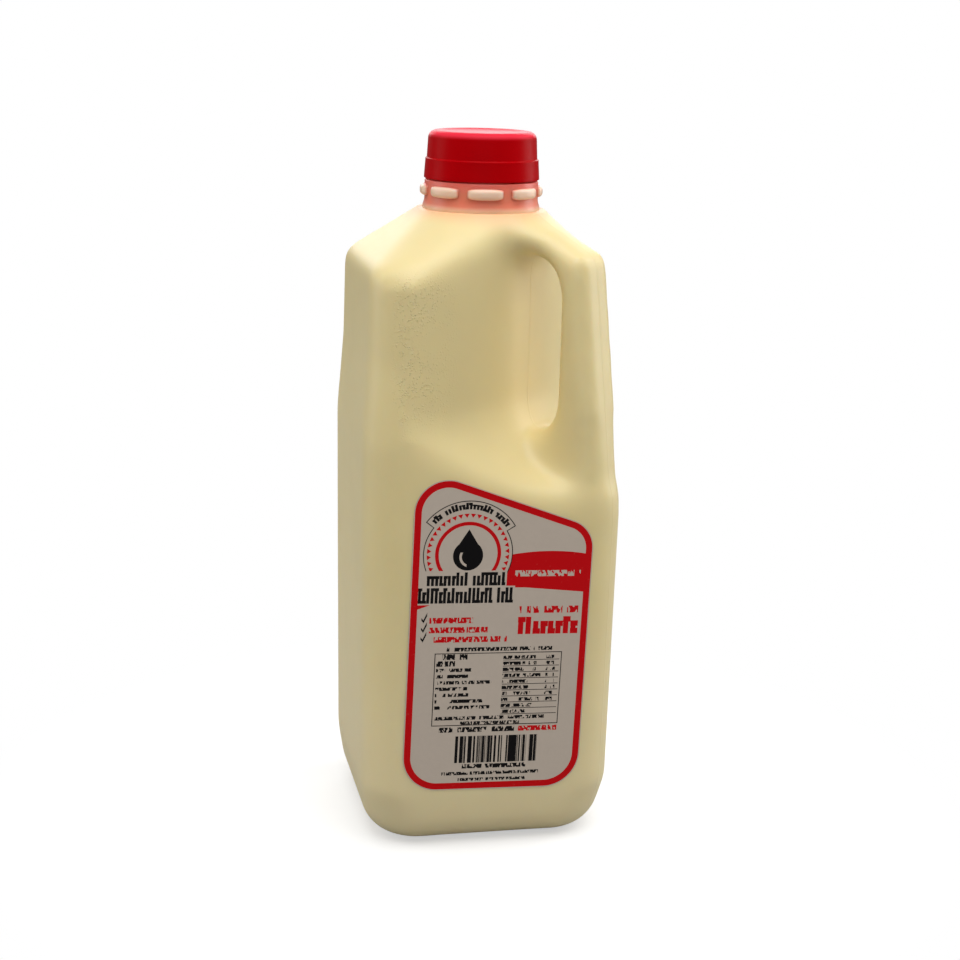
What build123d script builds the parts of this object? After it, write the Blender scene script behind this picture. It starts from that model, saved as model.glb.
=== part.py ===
"""Half-gallon milk jug: blow-moulded body with a corner handle, milk, push-on cap and front label.

Frame: millimetres, +Z up, origin at the bottom centre. The label faces -Y and the
handle stands at the corner between +X and -Y, so the diagonal through that corner
is the parting plane of the mould.
"""

import os

from build123d import *

os.makedirs("parts", exist_ok=True)

# Body
base_width = 90.0  # across the faces at the table, before the heel is rounded
heel_width = 95.6  # across the faces where the heel ends
heel_height = 22.0
body_width = 98.0  # across the faces at the waist
upper_width = 94.2  # across the faces over the waist
shoulder_width = 93.4  # across the faces under the shoulder
corner_radius = 16.5  # vertical corners
base_corner_radius = 25.0  # the same corners at the table
heel_radius = 15.0
waist_height = 155.0  # widest level, where the faces start to lean in
lean_share = 0.468  # of the way from the waist to the shoulder, where they stand upright again
shoulder_height = 217.0
shoulder_round = 8.0
body_wall = 0.9
push_up_width = 44.0  # shallow hollow pressed into the base
push_up_depth = 2.5
push_up_slope = 30.0

# Neck
neck_base_height = 238.2  # where the shoulder ends
neck_base_radius = 21.6
neck_ring_radius = 22.0  # plain ring on the shoulder
neck_base_step = 0.9  # height of that ring
neck_radius = 21.2
neck_band_top = 247.2
finish_clearance = 0.2  # between the finish and the cap over it
neck_wall = 1.2  # of the ring and the band
neck_bore_radius = 17.5  # inside the finish
lug_count = 8
lug_width = 14.0
lug_height = 4.6
lug_reach = 1.75
lug_round = 1.5
lug_middle_height = 243.3
lug_turn = -7.5  # degrees from the middle of the label face

# Handle
grip_reach = 23.2  # from the neck axis to the wall behind the fingers, on the diagonal
grip_bend = 120.5  # radius of that wall in plan
grip_flare = 31.0  # radius of the sweep from the wall out to the ledge
grip_floor = 138.5  # height of the ledge under the handle
handle_width = 22.6
handle_round = 6.4  # along the outside
gap_round = 2.8  # around the finger gap
handle_depth_low = 17.6  # from the finger gap to the outside of the handle at the ledge
handle_depth_high = 8.6  # and at the top of the handle
handle_foot_lean = 2.0  # how far the foot draws in under the ledge
handle_top = 222.5  # height of the arm at its outer end
handle_corner = 7.0
arm_root_width = 52.0  # the arm widens from the handle to this at the neck axis
arm_root_reach = 36.0  # and has the handle's width from here on
arm_root_low = 225.0  # underside of the widened root
finger_gap = 18.6  # clear width between the wall and the handle
finger_root = 4.6  # from the neck axis to where its floor and ceiling end inside the wall
finger_low = 161.0
finger_dip = 18.0  # drop of the gap's floor on its way in to the wall
finger_high = 223.0
finger_slope = 3.0  # drop of the arm's underside on its way out
finger_round_low = 15.0
finger_round_high = 16.0

# Cap
cap_height = 17.5
cap_lift = 0.4  # gap between the cap and the neck band under it
cap_radius_low = 21.1
cap_radius_high = 20.2
cap_edge_round = 3.0
cap_wall = 1.3
cap_skirt_height = 7.4  # flared band below the ridge
cap_skirt_flare = 0.4
cap_ridge_step = 0.35

# Milk
milk_level = 238.5

# Label
label_thickness = 0.2
label_left = -33.5
label_right = 34.2
label_bottom = 23.7
label_top_left = 148.6
label_top_right = 125.7
label_round_bottom = 13.5
label_round_top_left = 12.4
label_round_top_right = 11.5
label_turn = -1.5  # degrees, as it was stuck on

cap_bottom = neck_band_top + cap_lift
cap_top = cap_bottom + cap_height
finish_top = cap_top - cap_wall
upper_height = waist_height + lean_share * (shoulder_height - waist_height)
gap_outer = grip_reach + finger_gap
handle_ridge_low = gap_outer + handle_depth_low
handle_ridge_high = gap_outer + handle_depth_high
finish_radius = cap_radius_high - cap_wall - finish_clearance
diagonal = Plane(origin=(0, 0, 0), x_dir=(1, -1, 0), z_dir=(-1, -1, 0))


def square_body(inset):
    """Square body and shoulder, a distance inside the outer surface."""
    shoulder_drop = inset / 3
    levels = [
        (inset, base_width, base_corner_radius),
        (heel_height, heel_width, corner_radius),
        (waist_height, body_width, corner_radius),
        (upper_height, upper_width, corner_radius),
        (shoulder_height - shoulder_drop, shoulder_width, corner_radius),
        (neck_base_height - shoulder_drop, 2 * neck_base_radius, neck_base_radius - 0.05),
    ]
    with BuildPart() as body:
        for lower, upper in zip(levels, levels[1:]):
            for height, width, radius in (lower, upper):
                with BuildSketch(Plane.XY.offset(height)):
                    RectangleRounded(width - 2 * inset, width - 2 * inset, radius - inset)
            loft(ruled=True)
        fillet(body.edges().group_by(Axis.Z)[0], heel_radius - inset)
        shoulder_edges = body.edges().filter_by_position(Axis.Z, shoulder_height - 1, shoulder_height + 1)
        fillet(shoulder_edges, shoulder_round)
        with BuildSketch(Plane.XY):
            RectangleRounded(push_up_width + 2 * inset, push_up_width + 2 * inset, corner_radius)
        extrude(amount=push_up_depth + inset, taper=push_up_slope, mode=Mode.SUBTRACT)
    return body.part


def grip_space(inset):
    """Space around the handle: outside the curved wall and above the ledge."""
    wall_place = grip_reach - inset
    flare = grip_flare + inset
    floor = grip_floor - inset
    far = 1.5 * body_width
    centre = diagonal.from_local_coords((grip_reach - grip_bend, 0, 0))
    with BuildPart() as space:
        with BuildSketch(diagonal):
            with BuildLine():
                Line((wall_place, cap_top), (wall_place, floor + flare))
                RadiusArc((wall_place, floor + flare), (wall_place + flare, floor), -flare)
                Polyline((wall_place + flare, floor), (far, floor), (far, cap_top), (wall_place, cap_top))
            make_face()
        revolve(axis=Axis(centre, (0, 0, 1)))
    return space.part


def on_ridge(edge):
    """True for an edge along the handle's top or outer side, away from its foot."""
    place = diagonal.to_local_coords(edge.center())
    return place.X > neck_ring_radius / 2 + 1 and place.Y > grip_floor - heel_radius + 1


def handle_arch(inset):
    """Handle at the corner, with its arm to the neck and its foot in the ledge."""
    foot = grip_floor - heel_radius
    with BuildPart() as arch:
        with BuildSketch(diagonal) as side:
            with BuildLine():
                Polyline(
                    (0, foot),
                    (handle_ridge_low - handle_foot_lean, foot),
                    (handle_ridge_low, grip_floor + handle_round),
                    (handle_ridge_high, handle_top),
                    (neck_ring_radius, neck_base_height - neck_base_step),
                    (0, neck_base_height - neck_base_step),
                    close=True,
                )
            make_face()
            outer_corner = side.vertices().group_by(Axis.Y)[-2]
            fillet(outer_corner, handle_corner)
            offset(amount=-inset)
        extrude(amount=handle_width / 2 - inset, both=True)
        side_faces = arch.faces().filter_by(Axis(diagonal.origin, diagonal.z_dir))
        ridge_edges = side_faces.edges().filter_by(on_ridge)
        fillet(ridge_edges, handle_round - inset)
        with BuildSketch(diagonal) as gap:
            with BuildLine():
                Polyline(
                    (finger_root, finger_low - finger_dip),
                    (gap_outer, finger_low),
                    (gap_outer, finger_high - finger_slope),
                    (finger_root, finger_high + finger_slope),
                    close=True,
                )
            make_face()
            low_end = gap.vertices().group_by(Axis.X)[-1].sort_by(Axis.Y)[0]
            fillet(low_end, finger_round_low)
            high_end = gap.vertices().group_by(Axis.X)[-1].sort_by(Axis.Y)[-1]
            fillet(high_end, finger_round_high)
            offset(amount=inset)
        extrude(amount=handle_width, both=True, mode=Mode.SUBTRACT)
        side_faces = arch.faces().filter_by(Axis(diagonal.origin, diagonal.z_dir))
        gap_outlines = [outline for face in side_faces for outline in face.inner_wires()]
        fillet([edge for outline in gap_outlines for edge in outline.edges()], gap_round - inset)
    return arch.part


def arm_root(inset):
    """Root of the arm, widening towards the neck under the shoulder's surface."""
    plan = Plane(origin=(0, 0, arm_root_low + inset), x_dir=(1, -1, 0), z_dir=(0, 0, 1))
    with BuildPart() as root:
        with BuildSketch(plan):
            with BuildLine():
                Polyline(
                    (0, arm_root_width / 2 - inset),
                    (arm_root_reach, handle_width / 2 - inset),
                    (arm_root_reach, inset - handle_width / 2),
                    (0, inset - arm_root_width / 2),
                    close=True,
                )
            make_face()
        extrude(amount=neck_base_height - neck_base_step - arm_root_low - 2 * inset)
        add(square_body(inset), mode=Mode.INTERSECT)
    return root.part


def neck_form(ring_radius, band_radius, band_top, finish_top_radius):
    """Turned neck: plain ring on the shoulder, band with the lugs, finish inside the cap."""
    steps = [
        (ring_radius, neck_base_height - neck_wall, neck_base_height + neck_base_step),
        (band_radius, neck_base_height - neck_wall, band_top),
        (finish_top_radius, band_top, finish_top),
    ]
    with BuildPart() as neck:
        for radius, low, high in steps:
            with BuildSketch(Plane.XY.offset(low)):
                Circle(radius)
            extrude(amount=high - low)
    return neck.part


def neck_lugs():
    """Lugs around the neck band that the cap's tamper ring is torn off over."""
    depth = 2 * (lug_reach + neck_wall)
    with BuildPart() as lugs:
        with BuildSketch(Plane.XY.offset(lug_middle_height - lug_height / 2)):
            with PolarLocations(neck_radius - neck_wall, lug_count, start_angle=lug_turn - 90):
                SlotOverall(lug_width, depth, rotation=90)
        extrude(amount=lug_height)
        fillet(lugs.edges().group_by(Axis.Z)[0] + lugs.edges().group_by(Axis.Z)[-1], lug_round)
    return lugs.part


def bottle_form(inset):
    """Whole body with its handle, a distance inside the outer surface."""
    with BuildPart() as form:
        add(square_body(inset))
        add(grip_space(inset), mode=Mode.SUBTRACT)
        add(handle_arch(inset))
        add(arm_root(inset))
    return form.part


outer_form = bottle_form(0)
cavity = bottle_form(body_wall)
bore_radius = neck_radius - neck_wall
outer_neck = neck_form(neck_ring_radius, neck_radius, neck_band_top, finish_radius)
neck_bore = neck_form(bore_radius, bore_radius, neck_band_top - neck_wall, neck_bore_radius)

with BuildPart() as jug:
    add(outer_form)
    add(outer_neck)
    add(neck_lugs())
    add(cavity, mode=Mode.SUBTRACT)
    add(neck_bore, mode=Mode.SUBTRACT)
jug.part.label = "jug"
export_step(jug.part, "parts/jug.step")

with BuildPart() as milk:
    add(cavity)
    add(neck_bore)
    split(bisect_by=Plane.XY.offset(milk_level), keep=Keep.BOTTOM)
milk.part.label = "milk"
export_step(milk.part, "parts/milk.step")

with BuildPart() as cap:
    ridge_height = cap_bottom + cap_skirt_height
    inner_radius = finish_radius + finish_clearance
    with BuildSketch(Plane.XZ) as profile:
        with BuildLine():
            Polyline(
                (inner_radius, cap_bottom),
                (cap_radius_low + cap_skirt_flare, cap_bottom),
                (cap_radius_low, ridge_height),
                (cap_radius_low - cap_ridge_step, ridge_height),
                (cap_radius_high, cap_top),
                (0, cap_top),
                (0, finish_top),
                (inner_radius, finish_top),
                close=True,
            )
        make_face()
        top_rim = profile.vertices().group_by(Axis.Y)[-1].sort_by(Axis.X)[-1]
        fillet(top_rim, cap_edge_round)
    revolve(axis=Axis.Z)
cap.part.label = "cap"
export_step(cap.part, "parts/cap.step")

label_middle = (label_bottom + label_top_right) / 2
label_plane = Plane(origin=(0, 0, label_middle), x_dir=(1, 0, 0), z_dir=(0, -1, 0)).rotated((0, -label_turn, 0))
label_outset = square_body(-label_thickness)
label_backing = square_body(0)

with BuildPart() as label:
    with BuildSketch(label_plane) as outline:
        with BuildLine():
            Polyline(
                (label_left, label_bottom - label_middle),
                (label_right, label_bottom - label_middle),
                (label_right, label_top_right - label_middle),
                (label_left, label_top_left - label_middle),
                close=True,
            )
        make_face()
        bottom_corners = outline.vertices().group_by(Axis.Y)[0]
        fillet(bottom_corners, label_round_bottom)
        top_corners = outline.vertices().sort_by(Axis.Y)[-2:].sort_by(Axis.X)
        fillet(top_corners[0], label_round_top_left)
        right_corner = outline.vertices().group_by(Axis.X)[-1].sort_by(Axis.Y)[-1]
        fillet(right_corner, label_round_top_right)
    extrude(amount=body_width)
    add(label_outset, mode=Mode.INTERSECT)
    add(label_backing, mode=Mode.SUBTRACT)
label.part.label = "label"
export_step(label.part, "parts/label.step")
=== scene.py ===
"""Half-gallon milk jug: bottle, neck with lugs, cap and printed label, dressed over its CAD frame."""

from math import cos, radians, sin, sqrt, tau

import bmesh
import bpy
from mathutils import Matrix, Vector


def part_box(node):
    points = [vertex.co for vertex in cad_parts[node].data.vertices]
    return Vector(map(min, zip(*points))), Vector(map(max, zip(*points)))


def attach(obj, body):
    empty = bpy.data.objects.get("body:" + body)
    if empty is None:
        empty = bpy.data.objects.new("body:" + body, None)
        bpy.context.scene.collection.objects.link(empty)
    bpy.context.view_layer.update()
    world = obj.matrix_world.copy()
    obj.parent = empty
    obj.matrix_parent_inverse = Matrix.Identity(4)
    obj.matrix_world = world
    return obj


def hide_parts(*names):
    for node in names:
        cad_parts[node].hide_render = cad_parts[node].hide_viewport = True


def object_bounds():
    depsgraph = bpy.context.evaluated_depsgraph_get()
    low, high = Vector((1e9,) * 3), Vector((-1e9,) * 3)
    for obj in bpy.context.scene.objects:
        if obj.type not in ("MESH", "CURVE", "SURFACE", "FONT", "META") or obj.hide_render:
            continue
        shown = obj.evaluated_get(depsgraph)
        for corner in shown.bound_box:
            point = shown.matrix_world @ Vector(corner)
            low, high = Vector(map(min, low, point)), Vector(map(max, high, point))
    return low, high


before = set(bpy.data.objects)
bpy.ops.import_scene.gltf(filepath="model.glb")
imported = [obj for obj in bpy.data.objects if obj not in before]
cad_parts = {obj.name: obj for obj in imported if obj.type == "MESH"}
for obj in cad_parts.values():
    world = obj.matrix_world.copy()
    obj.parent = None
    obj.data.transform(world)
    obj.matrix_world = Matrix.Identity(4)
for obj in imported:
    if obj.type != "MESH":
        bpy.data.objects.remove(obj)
CAD_BOX = [list(corner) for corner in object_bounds()]

bl_info = {
    "name": "Milk Jug",
    "version": (1, 0, 0),
    "blender": (4, 5, 0),
    "location": "View3D > Sidebar > Milk Jug",
    "description": "Builds a milk jug with its cap and label, and a pale studio around it",
    "category": "Object",
}

MM = 0.001
CAP_LOW, CAP_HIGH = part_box("cap")
MILK_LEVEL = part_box("milk")[1][2]
CAP_RADIUS = (CAP_HIGH[0] - CAP_LOW[0]) / 2
CAP_BOTTOM, CAP_TOP = CAP_LOW[2], CAP_HIGH[2]
NECK_RADIUS = 21.2 * MM


# ---------------------------------------------------------------- shader maths


class Value:
    """One number socket, on which Python's operators add Math nodes."""

    def __init__(self, graph, socket):
        self.graph = graph
        self.socket = socket

    def math(self, operation, *others):
        """Math node of this value and the others."""
        values = dict(enumerate((self, *others)))
        node = self.graph.node("ShaderNodeMath", {"operation": operation}, values)
        return Value(self.graph, node.outputs[0])

    def __add__(self, other):
        return self.math("ADD", other)

    __radd__ = __add__

    def __mul__(self, other):
        return self.math("MULTIPLY", other)

    __rmul__ = __mul__

    def __sub__(self, other):
        return self.math("SUBTRACT", other)

    def __rsub__(self, other):
        return Value(self.graph, self.graph.number(other)).math("SUBTRACT", self)

    def __truediv__(self, other):
        return self.math("DIVIDE", other)

    def __gt__(self, other):
        return self.math("GREATER_THAN", other)

    def __lt__(self, other):
        return self.math("LESS_THAN", other)

    def __abs__(self):
        return self.math("ABSOLUTE")

    def or_(self, other):
        """The larger of two masks."""
        return self.math("MAXIMUM", other)

    def length(self, other):
        """Length of the line whose sides are this value and the other."""
        return ((self * self) + (other * other)).math("SQRT")

    def whole(self):
        return self.math("FLOOR")

    def fraction(self):
        """What is left after the whole number."""
        return self.math("FRACT")

    def ramp(self, start, end):
        """0 at start and 1 at end, smooth between."""
        node = self.graph.node(
            "ShaderNodeMapRange",
            {"interpolation_type": "SMOOTHSTEP"},
            {"Value": self, "From Min": start, "From Max": end},
        )
        return Value(self.graph, node.outputs["Result"])


class Graph:
    """A material's nodes."""

    def __init__(self, name):
        self.material = bpy.data.materials.new(name)
        self.material.use_nodes = True
        self.nodes = self.material.node_tree.nodes
        self.links = self.material.node_tree.links
        self.nodes.clear()

    def put(self, socket, value):
        """Gives a socket a link, a colour or a number."""
        if isinstance(value, Value):
            value = value.socket
        if isinstance(value, bpy.types.NodeSocket):
            self.links.new(value, socket)
        elif hasattr(socket.default_value, "__len__") and len(socket.default_value) == 4:
            socket.default_value = (*value[:3], 1.0)
        else:
            socket.default_value = value

    def node(self, kind, settings=None, inputs=None):
        """Adds a node: its settings are set first, and then its sockets."""
        node = self.nodes.new(kind)
        for name, value in (settings or {}).items():
            setattr(node, name, value)
        for name, value in (inputs or {}).items():
            self.put(node.inputs[name], value)
        return node

    def number(self, value):
        """Socket that holds one number, for a number on the left of an operator."""
        node = self.node("ShaderNodeMath", {"operation": "ADD"}, {0: value, 1: 0.0})
        return node.outputs[0]

    def value(self, node, output=0):
        return Value(self, node.outputs[output])

    def place(self):
        """X, Y and Z of a point of the object, in metres."""
        split = self.node("ShaderNodeSeparateXYZ", {}, {0: self.point()})
        return [Value(self, output) for output in split.outputs]

    def point(self):
        return self.node("ShaderNodeTexCoord").outputs["Object"]

    def vector(self, x, y, z):
        """Vector of three numbers, to read a pattern at a place of its own."""
        return self.node("ShaderNodeCombineXYZ", {}, {0: x, 1: y, 2: z}).outputs[0]

    def noise(self, scale, detail=2.0, roughness=0.5, vector=None):
        inputs = {"Vector": vector or self.point(), "Scale": scale, "Detail": detail, "Roughness": roughness}
        return self.value(self.node("ShaderNodeTexNoise", {}, inputs))

    def mix(self, amount, first, second):
        """Colour between two colours."""
        node = self.node("ShaderNodeMix", {"data_type": "RGBA"}, {"Factor": amount, 6: first, 7: second})
        return node.outputs[2]

    def bump(self, height, distance, strength=1.0, normal=None):
        inputs = {"Height": height, "Distance": distance, "Strength": strength}
        if normal:
            inputs["Normal"] = normal
        return self.node("ShaderNodeBump", {}, inputs).outputs[0]

    def finish(self, **inputs):
        """Principled surface and output."""
        named = {key.replace("_", " ").title().replace("Ior", "IOR"): inputs[key] for key in inputs}
        shader = self.node("ShaderNodeBsdfPrincipled", {}, named)
        out = self.node("ShaderNodeOutputMaterial")
        self.links.new(shader.outputs[0], out.inputs[0])
        return self.material


def linear(red, green, blue):
    """Scene colour of an 8-bit display colour."""
    shares = (channel / 255 for channel in (red, green, blue))
    return tuple(share / 12.92 if share <= 0.04045 else ((share + 0.055) / 1.055) ** 2.4 for share in shares)


# ---------------------------------------------------------------- mesh helpers


def new_object(name, bm, material):
    """Object of a bmesh, riding on the jug's one body."""
    mesh = bpy.data.meshes.new(name)
    bmesh.ops.recalc_face_normals(bm, faces=bm.faces)
    bm.to_mesh(mesh)
    bm.free()
    piece = bpy.data.objects.new(name, mesh)
    bpy.context.scene.collection.objects.link(piece)
    mesh.materials.append(material)
    mesh.shade_smooth()
    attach(piece, "root")
    return piece


def arc(centre, radius, start, end, steps):
    """Points of an arc in the (radius, height) plane, with angles in degrees."""
    points = []
    for index in range(steps + 1):
        angle = radians(start + (end - start) * index / steps)
        points.append((centre[0] + radius * cos(angle), centre[1] + radius * sin(angle)))
    return points


def lathe(bm, profile, segments):
    """Turns an open profile of (radius, height) points around Z; a radius of 0 closes to a point."""
    rings = []
    for radius, height in profile:
        if radius < 1e-7:
            rings.append([bm.verts.new((0, 0, height))])
            continue
        ring = []
        for index in range(segments):
            angle = tau * index / segments
            ring.append(bm.verts.new((radius * cos(angle), radius * sin(angle), height)))
        rings.append(ring)
    for low, high in zip(rings, rings[1:]):
        for index in range(segments):
            following = (index + 1) % segments
            corners = [low[index % len(low)], low[following % len(low)]]
            corners += [high[following % len(high)], high[index % len(high)]]
            unique = list(dict.fromkeys(corners))
            if len(unique) > 2:
                bm.faces.new(unique)


def apply_modifiers(piece):
    """Replaces a piece's mesh by what its modifiers make of it."""
    depsgraph = bpy.context.evaluated_depsgraph_get()
    mesh = bpy.data.meshes.new_from_object(piece.evaluated_get(depsgraph))
    piece.modifiers.clear()
    piece.data = mesh


# ---------------------------------------------------------------- settings


class BottleSettings(bpy.types.PropertyGroup):
    plastic: bpy.props.FloatVectorProperty(
        name="Bottle colour",
        description="Colour of the full bottle's wall",
        subtype="COLOR",
        size=3,
        default=linear(238, 220, 163),
    )
    # Painted glow: the neck's pink stands in for the cap's red light shining through the plastic.
    painted_glow: bpy.props.FloatVectorProperty(
        name="Headspace colour",
        description="Colour of the empty neck, where the cap glows through",
        subtype="COLOR",
        size=3,
        default=linear(240, 138, 108),
    )
    softness: bpy.props.IntProperty(
        name="Softness",
        description="Smoothing passes over the blown form",
        default=26,
        min=0,
    )
    ease: bpy.props.IntProperty(
        name="Ease",
        description="Further smoothing passes over the ledge and the root of the arm",
        default=120,
        min=0,
    )
    detail: bpy.props.FloatProperty(
        name="Detail",
        description="Size of the faces of the blown form",
        default=1.15 * MM,
        unit="LENGTH",
    )


class CapSettings(bpy.types.PropertyGroup):
    colour: bpy.props.FloatVectorProperty(
        name="Cap colour",
        description="Colour of the cap's plastic",
        subtype="COLOR",
        size=3,
        default=linear(184, 0, 8),
    )
    skirt: bpy.props.FloatProperty(
        name="Skirt height",
        description="Height of the flared band below the ridge",
        default=7.4 * MM,
        unit="LENGTH",
    )


class LabelSettings(bpy.types.PropertyGroup):
    # Partly the paper's own beige, partly painted shade: set darker than the bare paper so the label reads
    # as shaded on the front.
    paper: bpy.props.FloatVectorProperty(
        name="Paper colour",
        description="Colour of the unprinted label",
        subtype="COLOR",
        size=3,
        default=linear(203, 189, 174),
    )
    red: bpy.props.FloatVectorProperty(
        name="Red ink",
        description="Colour of the border, the band and the headings",
        subtype="COLOR",
        size=3,
        default=linear(206, 4, 14),
    )
    black: bpy.props.FloatVectorProperty(
        name="Black ink",
        description="Colour of the small print",
        subtype="COLOR",
        size=3,
        default=linear(14, 12, 13),
    )


class StudioSettings(bpy.types.PropertyGroup):
    azimuth: bpy.props.FloatProperty(
        name="Camera azimuth",
        description="Turn of the camera around the jug from the label side",
        default=radians(-12.0),
        subtype="ANGLE",
    )
    elevation: bpy.props.FloatProperty(
        name="Camera elevation",
        description="Angle of the camera above the level",
        default=radians(13.8),
        subtype="ANGLE",
    )
    distance: bpy.props.FloatProperty(
        name="Camera distance",
        description="From the camera to the middle of the jug",
        default=0.7225,
        unit="LENGTH",
    )


# ---------------------------------------------------------------- materials


def shaded(colour, share):
    """A share of a colour."""
    return [channel * share for channel in colour]


def speckle(graph, size, share):
    """Height field of small round droplets: cell size and the share of cells that hold one."""
    inputs = {"Vector": graph.point(), "Scale": 1 / size}
    cells = graph.node("ShaderNodeTexVoronoi", {"feature": "F1"}, inputs)
    near = graph.value(cells, "Distance")
    chance = graph.node("ShaderNodeSeparateColor", {}, {0: cells.outputs["Color"]})
    return (1 - near.ramp(0.05, 0.42)) * (graph.value(chance) < share)


def droplets(graph):
    """Fine droplets on the label side, beside the hollow that the handle stands in."""
    x, y, z = graph.place()
    patches = graph.noise(48.0, 2.0, 0.5).ramp(0.32, 0.52)
    heights = z.ramp(150 * MM, 185 * MM) * (1 - z.ramp(208 * MM, 222 * MM))
    across = x.ramp(-42 * MM, -36 * MM) * (1 - x.ramp(-28 * MM, -12 * MM)) * (y < -20 * MM)
    return speckle(graph, 0.9 * MM, 0.9) * patches * heights * across


def bottle_material(settings):
    """Milky blown polyethylene with the milk behind it, paler towards the bottom, with a painted glow of the
    cap's red round the neck.
    """
    graph = Graph("bottle_plastic")
    x, y, z = graph.place()
    cloud = graph.noise(26.0, 3.0, 0.6).ramp(0.3, 0.75)
    tint = graph.mix(cloud, settings.plastic, shaded(settings.plastic, 0.965))
    # The colour is paler towards the bottom, fading out 120 mm up.
    foot = graph.mix(0.5, tint, linear(250, 234, 194))
    tint = graph.mix(z.ramp(0.0, 120 * MM), foot, tint)
    # Painted glow: salmon round the foot of the neck, standing in for the cap's red light through the
    # plastic.
    near_neck = 1 - x.length(y).ramp(21 * MM, 32 * MM)
    neck_glow = near_neck * z.ramp(MILK_LEVEL - 12 * MM, MILK_LEVEL - 1 * MM)
    tint = graph.mix(neck_glow * 0.8, tint, linear(252, 176, 132))
    drops = droplets(graph)
    tint = graph.mix(drops * 0.35, tint, linear(232, 220, 168))
    peel = graph.noise(900.0, 2.0, 0.5)
    waves = graph.noise(42.0, 2.0, 0.4)
    seam = 1 - abs(x + y).ramp(0.15 * MM, 0.75 * MM)
    normal = graph.bump(waves, 0.45 * MM, 0.6)
    normal = graph.bump(peel, 0.02 * MM, 0.6, normal)
    normal = graph.bump(drops, 0.30 * MM, 1.0, normal)
    normal = graph.bump(seam, 0.10 * MM, 0.7, normal)
    return graph.finish(
        base_color=tint,
        roughness=0.36 + 0.10 * graph.noise(300.0, 3.0, 0.6),
        normal=normal,
        subsurface_weight=0.35,
        subsurface_radius=(1.0, 0.75, 0.45),
        subsurface_scale=5 * MM,
        ior=1.5,
        specular_ior_level=0.4,
    )


def neck_material(settings):
    """Empty neck above the milk: the same plastic, with painted glow, a pink that stands in for the cap's
    red light shining through, deeper near the cap and paler on the lugs.
    """
    graph = Graph("neck_plastic")
    x, y, z = graph.place()
    above = z.ramp(MILK_LEVEL - 4 * MM, MILK_LEVEL + 0.4 * MM)
    # Painted glow, deeper towards the cap.
    near_cap = z.ramp(MILK_LEVEL + 4 * MM, CAP_BOTTOM)
    glow = graph.mix(near_cap, settings.painted_glow, linear(248, 108, 96))
    glow = graph.mix(graph.noise(160.0, 2.0).ramp(0.35, 0.7) * 0.3, glow, linear(246, 122, 100))
    # The lugs are painted paler, with less of the glow.
    lug = x.length(y).ramp(NECK_RADIUS + 0.2 * MM, NECK_RADIUS + 1.2 * MM)
    glow = graph.mix(lug * 0.8, glow, linear(255, 226, 200))
    tint = graph.mix(above, settings.plastic, glow)
    normal = graph.bump(graph.noise(700.0, 2.0), 0.03 * MM, 0.5)
    return graph.finish(
        base_color=tint,
        roughness=0.3 + 0.08 * graph.noise(300.0, 2.0),
        normal=normal,
        subsurface_weight=0.4,
        subsurface_radius=(1.0, 0.6, 0.4),
        subsurface_scale=3 * MM,
        ior=1.5,
    )


def cap_material(settings):
    """Injection-moulded red plastic, with a painted sheen that lightens the cap's top, and the gate's mark
    in its middle.
    """
    graph = Graph("cap_plastic")
    x, y, z = graph.place()
    cloud = graph.noise(90.0, 2.0).ramp(0.3, 0.8)
    tint = graph.mix(cloud * 0.5, settings.colour, shaded(settings.colour, 0.86))
    # Painted sheen: the top's lighter pink stands in for the lamps' reflection on it.
    upper = z.ramp(CAP_TOP - 2.6 * MM, CAP_TOP - 0.9 * MM)
    tint = graph.mix(upper * 0.9, tint, linear(238, 50, 70))
    gate = x.length(y).ramp(2.4 * MM, 1.8 * MM)
    dimple = gate * z.ramp(CAP_TOP - 0.6 * MM, CAP_TOP - 0.3 * MM)
    normal = graph.bump(graph.noise(240.0, 3.0, 0.5), 0.04 * MM, 0.6)
    normal = graph.bump(1 - dimple, 0.12 * MM, 0.8, normal)
    return graph.finish(
        base_color=tint,
        roughness=0.28 + 0.08 * graph.noise(420.0, 3.0),
        normal=normal,
        ior=1.4,
        specular_ior_level=0.05,
    )


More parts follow.
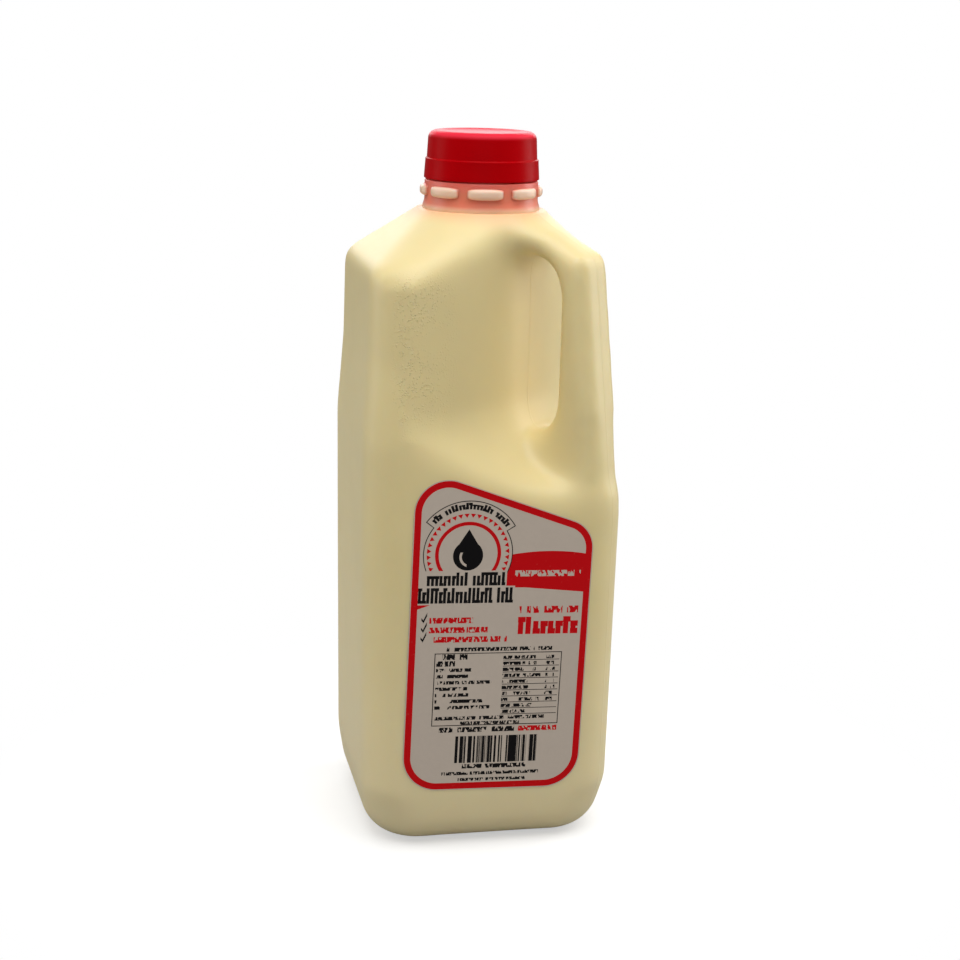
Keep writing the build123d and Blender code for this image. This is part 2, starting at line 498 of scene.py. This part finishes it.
class LabelPrint:
    """Printed fields of the label, in millimetres across and up from its own middle."""

    TURN = radians(-1.5)
    MIDDLE = 74.7
    LEFT, RIGHT, BOTTOM = -33.5, 34.2, 23.7 - 74.7
    TOP_LEFT, TOP_RIGHT = 148.6 - 74.7, 125.7 - 74.7
    ROUNDS = (13.5, 13.5, 11.5, 12.4)  # bottom left, bottom right, top right, top left
    BORDER = (-2.8, -0.35)  # distances outside the label's edge, negative inside it
    BAND_END = -0.4
    EMBLEM = (-12.85, 41.2)
    EMBLEM_RING = (10.9, 12.25)
    EMBLEM_TEETH = (13.7, 15.3)
    TOOTH_COUNT = 40
    EMBLEM_CIRCLE = (16.35, 16.7)
    # curved strip over the emblem: its radii, those within its thin line and those kept clear of the
    # circle, the angles of its ends, and the radii, middle radius and end angles of its strokes
    STRIP = (16.4, 20.2)
    STRIP_CORE = (16.0, 19.85)
    STRIP_CLEAR = (16.0, 20.5)
    STRIP_ENDS = (0.55, 2.50)
    STRIP_TRIM = 0.018
    STROKE_RADII = (16.9, 19.4)
    STROKE_MIDDLE = 17.5
    STROKE_ENDS = (0.64, 2.41)
    # left, right, bottom and top of the bold lines across the emblem's foot
    TITLE_BOXES = [(-28.2, 2.1, 28.6, 34.9), (-31.2, 5.4, 21.9, 29.0)]
    # left, right, middle, height, pitch and seed of single lines of print
    RED_LINES = [
        (7.5, 30.0, 19.7, 2.7, 1.9, 11.0),
        (-26.0, -9.7, 15.9, 2.2, 1.5, 20.0),
        (-26.0, -4.0, 12.2, 2.2, 1.5, 21.0),
        (-26.0, 4.8, 8.5, 2.2, 1.5, 22.0),
        (9.8, 24.6, -27.0, 2.0, 1.4, 31.0),
    ]
    BLACK_LINES = [
        (-19.0, 21.0, 4.6, 1.5, 1.1, 1.0),
        (-22.6, -11.0, 1.7, 2.2, 1.5, 41.0),
        (-22.6, -15.6, -0.9, 2.1, 1.5, 42.0),
        (-22.4, 20.0, -22.4, 1.4, 1.2, 80.0),
        (-12.5, 10.0, -24.4, 1.3, 1.2, 81.0),
        (-22.4, 8.3, -27.0, 2.0, 1.4, 82.0),
        (-11.0, 13.5, -41.7, 1.7, 1.5, 83.0),
        (-18.6, 18.6, -44.5, 1.3, 1.2, 84.0),
        (-12.3, 13.6, -47.0, 1.2, 1.2, 85.0),
    ]
    # left, right, top, count, step, height, raggedness and seed of the table's columns
    TABLE_COLUMNS = [
        (-22.6, 1.5, -2.2, 7, 2.45, 1.35, 12.0, 50.0),
        (2.6, 17.7, 2.4, 10, 2.37, 1.35, 5.5, 60.0),
        (19.0, 22.8, 2.4, 8, 2.37, 1.35, 0.8, 70.0),
    ]

    def __init__(self, graph):
        self.graph = graph
        x, _depth, z = graph.place()
        across, up = x / MM, z / MM - self.MIDDLE
        self.u = across * cos(self.TURN) + up * sin(self.TURN)
        self.w = up * cos(self.TURN) - across * sin(self.TURN)

    def span(self, value, low, high):
        """1 between two limits."""
        return (value > low) * (value < high)

    def box(self, left, right, low, high):
        return self.span(self.u, left, right) * self.span(self.w, low, high)

    def edge_distance(self):
        """Distance outside the label's rounded outline, negative inside it."""
        corners = [
            (Vector((self.LEFT, self.BOTTOM)), self.ROUNDS[0]),
            (Vector((self.RIGHT, self.BOTTOM)), self.ROUNDS[1]),
            (Vector((self.RIGHT, self.TOP_RIGHT)), self.ROUNDS[2]),
            (Vector((self.LEFT, self.TOP_LEFT)), self.ROUNDS[3]),
        ]
        edge = None
        for index, (corner, _rounding) in enumerate(corners):
            run = (corners[(index + 1) % 4][0] - corner).normalized()
            side = self.across_line(corner, Vector((run.y, -run.x)))
            edge = side if edge is None else edge.math("MAXIMUM", side)
        for index, (corner, rounding) in enumerate(corners):
            before = (corner - corners[index - 1][0]).normalized()
            after = (corners[(index + 1) % 4][0] - corner).normalized()
            bisector = (after - before).normalized()
            middle = corner + bisector * rounding / bisector.dot(Vector((-before.y, before.x)))
            zone = (self.across_line(middle, before) > 0) * (self.across_line(middle, -after) > 0)
            arc_edge = (self.u - middle.x).length(self.w - middle.y) - rounding
            edge = edge + zone * (arc_edge - edge)
        return edge

    def across_line(self, start, normal):
        """Distance from a line through a point, positive along its normal."""
        return (self.u - start.x) * normal.x + (self.w - start.y) * normal.y

    def disc(self, across, up, radius):
        aside, over = self.u - across, self.w - up
        return (aside * aside + over * over) < radius * radius

    def ring(self, across, up, outer, width):
        return self.disc(across, up, outer) - self.disc(across, up, outer - width)

    def letters(self, along, pitch, seed, row=0.0):
        """1 on the strokes of a line of small print, 0 in its gaps and between its words."""
        up = self.w * (0.42 / pitch) + seed * 7.3
        line = self.graph.vector(along / pitch, seed * 7.3, row)
        shape = self.graph.vector(along / pitch, up, row)
        words = self.graph.noise(0.32, 1.0, 0.5, line) > 0.38
        strokes = self.graph.noise(1.7, 1.0, 0.5, shape) > 0.45
        return words * strokes

    def words(self, left, right, middle, height, pitch, seed):
        """One line of print."""
        line = self.box(left, right, middle - height / 2, middle + height / 2)
        return line * self.letters(self.u, pitch, seed)

    def rows(self, left, right, top, count, step, height, ragged, seed):
        """Lines of print under each other, each ending at its own place."""
        place = (top - self.w) / step
        row = place.whole()
        end = self.graph.vector(row * 3.7, seed * 1.9, 0.5)
        short = self.graph.noise(1.0, 0.0, 0.5, end).ramp(0.3, 0.7) * ragged
        within = self.box(left, right, top - count * step, top) * (self.u < right - short)
        share = height / step
        line = self.span(place.fraction(), 0.5 - share / 2, 0.5 + share / 2)
        return within * line * self.letters(self.u, height, seed, row)

    def rules(self, left, right, top, count, step, width):
        """Thin lines under each other."""
        place = ((top - self.w) / step).fraction()
        return self.box(left, right, top - count * step, top) * (place > 1 - width / step)

    def pickets(self, along, up, ends, heights, step, seed):
        """Bold upright strokes of two heights, tied at head or foot, in groups."""
        low, high = heights
        place = (along - ends[0]) / step
        cell = place.whole()
        chance = ((cell * 12.99 + seed * 78.2).math("SINE") * 437.6).fraction()
        tall = (chance * 7.3).fraction() > 0.62
        top = high - (high - low) * 0.25 * (1 - tall)
        stroke = self.span(place.fraction(), 0.04, 0.74)
        joint = step * 0.75
        head = (up > top - joint) * (up > low + 1.25 * joint) * (chance < 0.45)
        foot = (up < low + joint) * self.span(chance, 0.38, 0.72)
        within = self.span(along, ends[0], ends[1]) * (up > low) * (up < top) * (chance < 0.93)
        return within * stroke.or_(head).or_(foot)

    def outline(self, left, right, low, high, width):
        """Thin frame inside a rectangle."""
        inner = self.box(left + width, right - width, low + width, high - width)
        return self.box(left, right, low, high) - inner

    def bars(self, left, right, low, high):
        """Upright bars of several widths."""
        line = self.graph.vector(self.u * 1.25, 3.7, 0.0)
        pattern = self.graph.noise(1.0, 2.0, 0.7, line) > 0.475
        return self.box(left, right, low, high) * pattern

    def polar(self):
        """Distance from the emblem's middle and angle around it."""
        aside, over = self.u - self.EMBLEM[0], self.w - self.EMBLEM[1]
        return aside.length(over), over.math("ARCTAN2", aside)

    def any_of(self, marks):
        """The largest of several masks."""
        total = marks[0]
        for mark in marks[1:]:
            total = total.or_(mark)
        return total

    def plate(self):
        """Bare ground of the emblem and of the two bold lines across its foot."""
        emblem = self.disc(*self.EMBLEM, self.EMBLEM_CIRCLE[1])
        return self.any_of([emblem, self.strip(self.STRIP), self.titles()])

    def titles(self):
        """Ground of the two bold lines."""
        return self.any_of([self.box(*box) for box in self.TITLE_BOXES])

    def strip(self, radii, trim=0.0):
        """Curved strip over the emblem between two radii, its ends trimmed by an angle."""
        distance, angle = self.polar()
        low, high = self.STRIP_ENDS
        return self.span(distance, *radii) * self.span(angle, low + trim, high - trim)

    def red(self):
        """Border, band, sunburst ring and headings."""
        edge = self.edge_distance()
        border = self.span(edge, *self.BORDER)
        inside = edge < self.BAND_END
        crest = 42.2 - (self.u - 18) * (self.u - 18) * 0.006
        foot = 28.3 - (self.u - 9).math("MAXIMUM", 0.0) * 0.085
        band = (self.w > foot) * (self.w < crest) * (self.u > 0.0) * inside
        band = band - band * self.words(5.2, 30.0, 33.7, 2.3, 1.5, 17.0)
        wedge = self.box(-32.5, -25.0, 19.4, 24.0) * (self.w > 22.3 - (-25.0 - self.u) * 0.36)
        fields = self.any_of([border, (band.or_(wedge)) * (1 - self.plate())])
        distance, angle = self.polar()
        free = 1 - self.titles()
        tooth = abs((angle * (self.TOOTH_COUNT / tau)).fraction() - 0.5)
        teeth = self.span(distance, *self.EMBLEM_TEETH) * (tooth < (distance - self.EMBLEM_TEETH[0]) * 0.26)
        ring = self.span(distance, *self.EMBLEM_RING)
        marks = [fields, teeth * free, ring * free, self.heading(7.3, 30.2, 10.2, 16.9)]
        marks += [self.words(*line) for line in self.RED_LINES]
        return self.any_of(marks)

    def heading(self, left, right, low, high):
        """Stout upright strokes in place of a large word."""
        return self.pickets(self.u, self.w, (left, right), (low, high), (right - left) / 8, 11.0)

    def tick(self, across, up):
        """Small check mark in front of a line."""
        aside, over = self.u - across, self.w - up
        long_arm = (abs(over - aside * 2.2) < 0.7) * self.span(aside, 0.0, 1.3)
        short_arm = (abs(over + aside * 1.2) < 0.5) * self.span(aside, -0.8, 0.1)
        return long_arm.or_(short_arm)

    def black(self):
        """Emblem's drop and outlines, bold lines, facts table, bars and small print."""
        distance, angle = self.polar()
        free = 1 - self.titles()
        circle = self.span(distance, *self.EMBLEM_CIRCLE) * (1 - self.strip(self.STRIP_CLEAR))
        marks = [self.drop() * free, circle * free]
        marks.append(self.strip(self.STRIP) - self.strip(self.STRIP_CORE, self.STRIP_TRIM))
        around = angle * self.STROKE_MIDDLE
        ends = [end * self.STROKE_MIDDLE for end in self.STROKE_ENDS]
        marks.append(self.pickets(around, distance, ends, self.STROKE_RADII, 1.3, 5.0))
        for index, (left, right, low, high) in enumerate(self.TITLE_BOXES):
            ends, heights = (left + 0.5, right - 0.5), (low + 0.6, high - 0.6)
            marks.append(self.pickets(self.u, self.w, ends, heights, 1.55, 8.0 + index))
        marks += [self.tick(-28.2, 15.6 - 3.7 * index) for index in range(3)]
        marks += [self.words(*line) for line in self.BLACK_LINES]
        marks += [self.rows(*column) for column in self.TABLE_COLUMNS]
        marks.append(self.outline(-23.4, 24.9, -25.4, 3.2, 0.32))
        marks.append(self.rules(2.6, 24.0, 2.4, 10, 2.37, 0.26))
        marks.append(self.bars(-14.8, 17.3, -40.3, -29.6))
        return self.any_of(marks)

    def drop(self):
        """Drop with a glint, in the emblem's middle."""
        across, up = self.EMBLEM
        aside, over = self.u - across, self.w - up
        point = self.span(over, 1.0, 9.4) * (abs(aside) < (9.4 - over) * 0.62)
        drop = self.disc(across, up - 0.6, 5.6).or_(point)
        glint = self.ring(across + 0.8, up - 1.0, 4.0, 0.9) * (aside < -0.4) * (over < 0.6)
        return drop - drop * glint


def label_material(settings):
    """Coated paper with its print as plain fields, strokes and dashes."""
    graph = Graph("label_paper")
    print_ = LabelPrint(graph)
    fibre = graph.noise(500.0, 4.0, 0.6)
    paper = graph.mix(fibre.ramp(0.3, 0.7) * 0.5, settings.paper, shaded(settings.paper, 0.95))
    ink_wear = graph.noise(900.0, 2.0).ramp(0.2, 0.35)
    tint = graph.mix(print_.red() * (0.9 + 0.1 * ink_wear), paper, settings.red)
    tint = graph.mix(print_.black(), tint, settings.black)
    normal = graph.bump(fibre, 0.015 * MM, 0.5)
    normal = graph.bump(graph.noise(60.0, 2.0), 0.10 * MM, 0.5, normal)
    return graph.finish(
        base_color=tint,
        roughness=0.5 + 0.1 * fibre,
        normal=normal,
        ior=1.45,
        specular_ior_level=0.12,
    )


# ---------------------------------------------------------------- pieces


class JUG_OT_bottle(bpy.types.Operator):
    """Blown bottle, full of milk, as one soft closed form"""

    bl_idname = "jug.bottle"
    bl_label = "Bottle"

    TRIM_DEPTH = 2.0 * MM  # of the cut under the neck, below the milk's level
    SMOOTH_FACTOR = 0.5
    # distance towards the handle, height, reach along both, and half the width left out in the middle
    ZONES = [
        (48 * MM, 146 * MM, 42 * MM, 20 * MM, -9 * MM),
        (48 * MM, 142 * MM, 44 * MM, 16 * MM, 8 * MM),
        (22 * MM, 226 * MM, 26 * MM, 14 * MM, -9 * MM),
    ]
    ZONE_FADE = 18 * MM  # from the middle that is left out to a zone's full weight

    def execute(self, context):
        settings = context.scene.jug_bottle
        bm = bmesh.new()
        bm.from_mesh(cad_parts["jug"].data)
        bm.from_mesh(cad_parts["milk"].data)
        bottle = new_object("bottle", bm, bottle_material(settings))
        remesh = bottle.modifiers.new("blend", "REMESH")
        remesh.mode = "VOXEL"
        remesh.voxel_size = settings.detail
        soften = bottle.modifiers.new("soften", "SMOOTH")
        soften.factor = self.SMOOTH_FACTOR
        soften.iterations = settings.softness
        apply_modifiers(bottle)
        for zone in self.ZONES:
            self.ease(bottle, settings.ease, zone)
        self.trim(bottle)
        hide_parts("jug", "milk")
        return {"FINISHED"}

    def ease(self, bottle, passes, zone):
        """Rounds one zone of the bottle further than the flat faces."""
        eased = bottle.vertex_groups.new(name="eased")
        for vertex in bottle.data.vertices:
            weight = self.zone_weight(vertex.co, *zone)
            if weight > 0:
                eased.add([vertex.index], weight, "REPLACE")
        smooth = bottle.modifiers.new("ease", "SMOOTH")
        smooth.vertex_group = eased.name
        smooth.factor = self.SMOOTH_FACTOR
        smooth.iterations = passes
        apply_modifiers(bottle)
        bottle.vertex_groups.clear()

    def zone_weight(self, point, depth, height, reach_across, reach_up, left_out):
        """1 in the middle of a zone on the handle's side and 0 at its ends."""
        towards_handle = (point.x - point.y) / sqrt(2)
        across = max(0.0, 1 - abs(towards_handle - depth) / reach_across)
        up = max(0.0, 1 - abs(point.z - height) / reach_up)
        beside = max(0.0, (abs(point.x + point.y) / sqrt(2) - left_out) / self.ZONE_FADE)
        return min(1.0, 2.0 * min(across, up, beside))

    def trim(self, bottle):
        """Cuts the neck off below the milk's level, where the separate neck piece goes on."""
        bm = bmesh.new()
        bm.from_mesh(bottle.data)
        everything = [*bm.verts, *bm.edges, *bm.faces]
        cut = (0, 0, MILK_LEVEL - self.TRIM_DEPTH)
        bmesh.ops.bisect_plane(bm, geom=everything, plane_co=cut, plane_no=(0, 0, 1), clear_outer=True)
        rim = [edge for edge in bm.edges if edge.is_boundary]
        bmesh.ops.contextual_create(bm, geom=rim)
        bm.to_mesh(bottle.data)
        bm.free()
        bottle.data.shade_smooth()


class JUG_OT_neck(bpy.types.Operator):
    """Neck with its flared foot, its band and the lugs around it"""

    bl_idname = "jug.neck"
    bl_label = "Neck"

    LUGS = 8
    LUG_TURN = radians(-7.5 - 90)
    LUG_SIZE = (14.0 * MM, 4.6 * MM)
    LUG_STEPS = (24, 12)
    LUG_REACH = 1.75 * MM
    LUG_SINK = 0.5 * MM  # how far a lug's edge lies inside the band
    LUG_ROOT = 1.5 * MM  # how far the point that closes a lug's back lies inside the band
    LUG_HEIGHT = 243.3 * MM
    RING = 22.0 * MM
    CORE_INSET = 4 * MM  # of the finish inside the cap, from the cap's radius
    CORE_DROP = 3 * MM  # from the cap's top to the finish
    CAP_GAP = 0.4 * MM
    EDGE = 0.6 * MM
    SEGMENTS = 144

    def execute(self, context):
        settings = context.scene.jug_bottle
        bm = bmesh.new()
        base = MILK_LEVEL - 6 * MM
        top = CAP_BOTTOM - self.CAP_GAP
        core = CAP_RADIUS - self.CORE_INSET
        profile = [
            (0.0, base),
            (self.RING - 0.1 * MM, base),
            (self.RING - 0.1 * MM, MILK_LEVEL - 1 * MM),
            (self.RING - 0.35 * MM, MILK_LEVEL - 0.2 * MM),
            (NECK_RADIUS + 0.15 * MM, MILK_LEVEL + 0.6 * MM),
            (NECK_RADIUS, MILK_LEVEL + 1.6 * MM),
            (NECK_RADIUS, MILK_LEVEL + 4 * MM),
            *arc((NECK_RADIUS - self.EDGE, top - self.EDGE), self.EDGE, 0, 90, 5),
            (core, top),
            (core, CAP_TOP - self.CORE_DROP),
            (0.0, CAP_TOP - self.CORE_DROP),
        ]
        lathe(bm, profile, self.SEGMENTS)
        for index in range(self.LUGS):
            self.add_lug(bm, self.LUG_TURN + tau * index / self.LUGS)
        neck = new_object("neck", bm, neck_material(settings))
        return {"FINISHED"}

    def add_lug(self, bm, turn):
        """Rounded long boss that follows the band."""
        across_steps, up_steps = self.LUG_STEPS
        columns = [-1 + 2 * column / across_steps for column in range(across_steps + 1)]
        rows = [-1 + 2 * row / up_steps for row in range(up_steps + 1)]
        grid = [[self.lug_point(bm, turn, u, v) for u in columns] for v in rows]
        for lower, upper in zip(grid, grid[1:]):
            for column in range(across_steps):
                bm.faces.new((lower[column], lower[column + 1], upper[column + 1], upper[column]))
        right_side = [line[-1] for line in grid[1:]]
        left_side = [line[0] for line in grid[-2:0:-1]]
        rim = grid[0] + right_side + grid[-1][-2::-1] + left_side
        depth = NECK_RADIUS - self.LUG_ROOT
        root = bm.verts.new((depth * cos(turn), depth * sin(turn), self.LUG_HEIGHT))
        for start, end in zip(rim, rim[1:] + rim[:1]):
            bm.faces.new((end, start, root))

    def lug_point(self, bm, turn, u, v):
        """Point of a lug, u and v from -1 to 1 across and up."""
        half_width, half_height = (size / 2 for size in self.LUG_SIZE)
        bulge = max(0.0, (1 - abs(u) ** 4) * (1 - abs(v) ** 3)) ** 0.55
        reach = NECK_RADIUS - self.LUG_SINK + (self.LUG_REACH + self.LUG_SINK) * bulge
        angle = turn + u * half_width / NECK_RADIUS
        height = self.LUG_HEIGHT + v * half_height * (1 - 0.25 * abs(u) ** 3)
        return bm.verts.new((reach * cos(angle), reach * sin(angle), height))


class JUG_OT_cap(bpy.types.Operator):
    """Push-on cap with a flared skirt, a fine ridge, a rounded rim and a slightly sunken top"""

    bl_idname = "jug.cap"
    bl_label = "Cap"

    WALL = 1.5 * MM
    EDGE = 3.0 * MM
    TOP_RADIUS = 20.2 * MM
    FOOT_ROUND = 0.25 * MM
    RIDGE_ROUND = 0.3 * MM
    TOP_DISH = 0.3 * MM  # how far the middle of the top lies below its rim
    SEGMENTS = 160

    def execute(self, context):
        settings = context.scene.jug_cap
        ridge = CAP_BOTTOM + settings.skirt
        inner = self.TOP_RADIUS - self.WALL
        waist = CAP_RADIUS - 0.5 * MM
        foot = CAP_RADIUS - self.FOOT_ROUND
        rim = self.TOP_RADIUS - self.EDGE
        profile = [
            (0.0, CAP_TOP - self.WALL),
            (inner, CAP_TOP - self.WALL),
            (inner, CAP_BOTTOM + 0.3 * MM),
            (inner + 0.3 * MM, CAP_BOTTOM),
            (foot, CAP_BOTTOM),
            *arc((foot, CAP_BOTTOM + self.FOOT_ROUND), self.FOOT_ROUND, -60, 0, 4),
            (CAP_RADIUS - 0.1 * MM, CAP_BOTTOM + 2 * MM),
            (waist + 0.08 * MM, ridge - 0.8 * MM),
            *arc((waist - 0.2 * MM, ridge - self.RIDGE_ROUND), self.RIDGE_ROUND, 0, 90, 5),
            (waist - 0.42 * MM, ridge + 0.02 * MM),
            (waist - 0.45 * MM, ridge + 0.4 * MM),
            *arc((rim, CAP_TOP - self.EDGE), self.EDGE, 4, 90, 14),
            (rim - 2 * MM, CAP_TOP - 0.02 * MM),
            (rim - 2.6 * MM, CAP_TOP - self.TOP_DISH + 0.02 * MM),
            (0.0, CAP_TOP - self.TOP_DISH),
        ]
        bm = bmesh.new()
        lathe(bm, profile, self.SEGMENTS)
        cap = new_object("cap_shell", bm, cap_material(settings))
        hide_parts("cap")
        return {"FINISHED"}


class JUG_OT_label(bpy.types.Operator):
    """Printed paper label on the front face"""

    bl_idname = "jug.label"
    bl_label = "Label"

    def execute(self, context):
        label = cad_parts["label"]
        material = label_material(context.scene.jug_label)
        for slot in label.material_slots:
            slot.material = material
        return {"FINISHED"}


# ---------------------------------------------------------------- studio


WORLD_LEVEL = 0.24
# name, azimuth and elevation in degrees, distance, size, watts
LAMPS = [
    ("top", (-2, 70), 0.95, (0.9, 0.9), 8.2),
    ("back", (172, 24), 1.2, (1.3, 0.6), 6.0),
    ("left", (-108, 20), 0.95, (0.45, 1.0), 2.3),
    ("right", (100, 22), 0.95, (0.45, 1.0), 4.2),
    ("front", (-10, 16), 1.3, (0.9, 0.7), 0.7),
]


def pale_world():
    """Even white light, seen as pure white behind the jug."""
    world = bpy.data.worlds.new("studio")
    bpy.context.scene.world = world
    world.use_nodes = True
    nodes, links = world.node_tree.nodes, world.node_tree.links
    nodes.clear()
    path = nodes.new("ShaderNodeLightPath")
    seen = nodes.new("ShaderNodeMath")
    seen.operation = "MAXIMUM"
    links.new(path.outputs["Is Camera Ray"], seen.inputs[0])
    links.new(path.outputs["Is Transmission Ray"], seen.inputs[1])
    level = nodes.new("ShaderNodeMapRange")
    level.inputs["To Min"].default_value = WORLD_LEVEL
    level.inputs["To Max"].default_value = 1.0
    links.new(seen.outputs[0], level.inputs["Value"])
    background = nodes.new("ShaderNodeBackground")
    background.inputs["Color"].default_value = (1, 1, 1, 1)
    links.new(level.outputs["Result"], background.inputs["Strength"])
    out = nodes.new("ShaderNodeOutputWorld")
    links.new(background.outputs[0], out.inputs[0])


def direction(azimuth, elevation):
    """Unit vector towards a place around the jug; azimuth 0 is the label side."""
    return Vector((sin(azimuth) * cos(elevation), -cos(azimuth) * cos(elevation), sin(elevation)))


class JUG_OT_studio(bpy.types.Operator):
    """Pale floor, soft lamps, white background and the camera"""

    bl_idname = "jug.studio"
    bl_label = "Studio"

    SHADOW = (0.09, 0.2)  # radii between which the ground's shading fades to white
    FLOOR_REACH = 6.0
    FLOOR_DROP = 0.2 * MM
    SENSOR = 36.0
    LENS = 69.95
    SHIFT = (0.0063, -0.0061)
    ROLL = radians(1.46)
    AIM_HEIGHT = 133.9 * MM

    def execute(self, context):
        pale_world()
        self.add_floor()
        for lamp in LAMPS:
            self.add_lamp(*lamp)
        self.add_camera(context.scene.jug_studio)
        context.scene.view_settings.view_transform = "Standard"
        return {"FINISHED"}

    def add_floor(self):
        """White ground that keeps the jug's own shadow and fades to plain white around it."""
        graph = Graph("floor")
        x, y, _height = graph.place()
        away = x.length(y).ramp(*self.SHADOW)
        path = graph.node("ShaderNodeLightPath")
        seen = graph.value(path, "Is Camera Ray").or_(graph.value(path, "Is Transmission Ray"))
        grain = graph.noise(40.0, 2.0)
        ground = graph.node(
            "ShaderNodeBsdfPrincipled",
            {},
            {"Base Color": (0.4, 0.4, 0.4), "Roughness": 0.9 + 0.05 * grain, "Specular IOR Level": 0.0},
        )
        lifted = graph.node(
            "ShaderNodeBsdfPrincipled",
            {},
            {
                "Base Color": (0.6, 0.6, 0.6),
                "Roughness": 0.9,
                "Specular IOR Level": 0.0,
                "Emission Color": (1.0, 1.0, 1.0),
                "Emission Strength": 0.5,
            },
        )
        plain = graph.node("ShaderNodeEmission", {}, {"Color": (1.0, 1.0, 1.0), "Strength": 1.0})
        near = graph.node("ShaderNodeMixShader", {}, {0: away, 1: lifted.outputs[0], 2: plain.outputs[0]})
        both = graph.node("ShaderNodeMixShader", {}, {0: seen, 1: ground.outputs[0], 2: near.outputs[0]})
        out = graph.node("ShaderNodeOutputMaterial")
        graph.links.new(both.outputs[0], out.inputs[0])
        bm = bmesh.new()
        bmesh.ops.create_grid(bm, x_segments=8, y_segments=8, size=self.FLOOR_REACH)
        mesh = bpy.data.meshes.new("floor")
        bm.to_mesh(mesh)
        bm.free()
        floor = bpy.data.objects.new("floor", mesh)
        bpy.context.scene.collection.objects.link(floor)
        mesh.materials.append(graph.material)
        floor.location.z = -self.FLOOR_DROP

    def add_lamp(self, name, place, distance, size, watts):
        """Soft rectangular lamp that looks at the middle of the jug."""
        data = bpy.data.lights.new(name, "AREA")
        data.shape = "RECTANGLE"
        data.size, data.size_y = size
        data.energy = watts
        lamp = bpy.data.objects.new(name, data)
        towards = direction(*(radians(angle) for angle in place))
        middle = Vector((0, 0, CAD_BOX[1][2] / 2))
        lamp.location = middle + towards * distance
        lamp.rotation_euler = (-towards).to_track_quat("-Z", "Y").to_euler()
        lamp.visible_camera = False
        bpy.context.scene.collection.objects.link(lamp)

    def add_camera(self, settings):
        """Camera that looks at the jug, rolled and shifted a little."""
        data = bpy.data.cameras.new("camera")
        camera = bpy.data.objects.new("camera", data)
        bpy.context.scene.collection.objects.link(camera)
        data.sensor_width = self.SENSOR
        data.lens = self.LENS
        data.shift_x, data.shift_y = self.SHIFT
        back = direction(settings.azimuth, settings.elevation)
        right = Vector((cos(settings.azimuth), sin(settings.azimuth), 0))
        up = back.cross(right)
        side = right * cos(self.ROLL) + up * sin(self.ROLL)
        over = up * cos(self.ROLL) - right * sin(self.ROLL)
        matrix = Matrix((side, over, back)).transposed().to_4x4()
        matrix.translation = Vector((0, 0, self.AIM_HEIGHT)) + back * settings.distance
        camera.matrix_world = matrix
        data.clip_start = 0.01
        bpy.context.scene.camera = camera


class JUG_PT_panel(bpy.types.Panel):
    """Buttons and settings of the milk jug"""

    bl_idname = "JUG_PT_panel"
    bl_label = "Milk Jug"
    bl_space_type = "VIEW_3D"
    bl_region_type = "UI"
    bl_category = "Milk Jug"

    def draw(self, context):
        for settings, operator in SECTIONS:
            box = self.layout.box()
            group = getattr(context.scene, settings)
            for name in group.__annotations__:
                box.prop(group, name)
            box.operator(operator)


SECTIONS = [
    ("jug_bottle", "jug.bottle"),
    ("jug_bottle", "jug.neck"),
    ("jug_cap", "jug.cap"),
    ("jug_label", "jug.label"),
    ("jug_studio", "jug.studio"),
]
SETTINGS = {
    "jug_bottle": BottleSettings,
    "jug_cap": CapSettings,
    "jug_label": LabelSettings,
    "jug_studio": StudioSettings,
}
OPERATORS = [JUG_OT_bottle, JUG_OT_neck, JUG_OT_cap, JUG_OT_label, JUG_OT_studio]
CLASSES = [*SETTINGS.values(), *OPERATORS, JUG_PT_panel]


def register():
    for cls in CLASSES:
        bpy.utils.register_class(cls)
    for name, cls in SETTINGS.items():
        setattr(bpy.types.Scene, name, bpy.props.PointerProperty(type=cls))


def unregister():
    for name in SETTINGS:
        delattr(bpy.types.Scene, name)
    for cls in reversed(CLASSES):
        bpy.utils.unregister_class(cls)


def main():
    register()
    for _settings, operator in SECTIONS:
        group, name = operator.split(".")
        getattr(getattr(bpy.ops, group), name)()


if __name__ == "__main__":
    main()
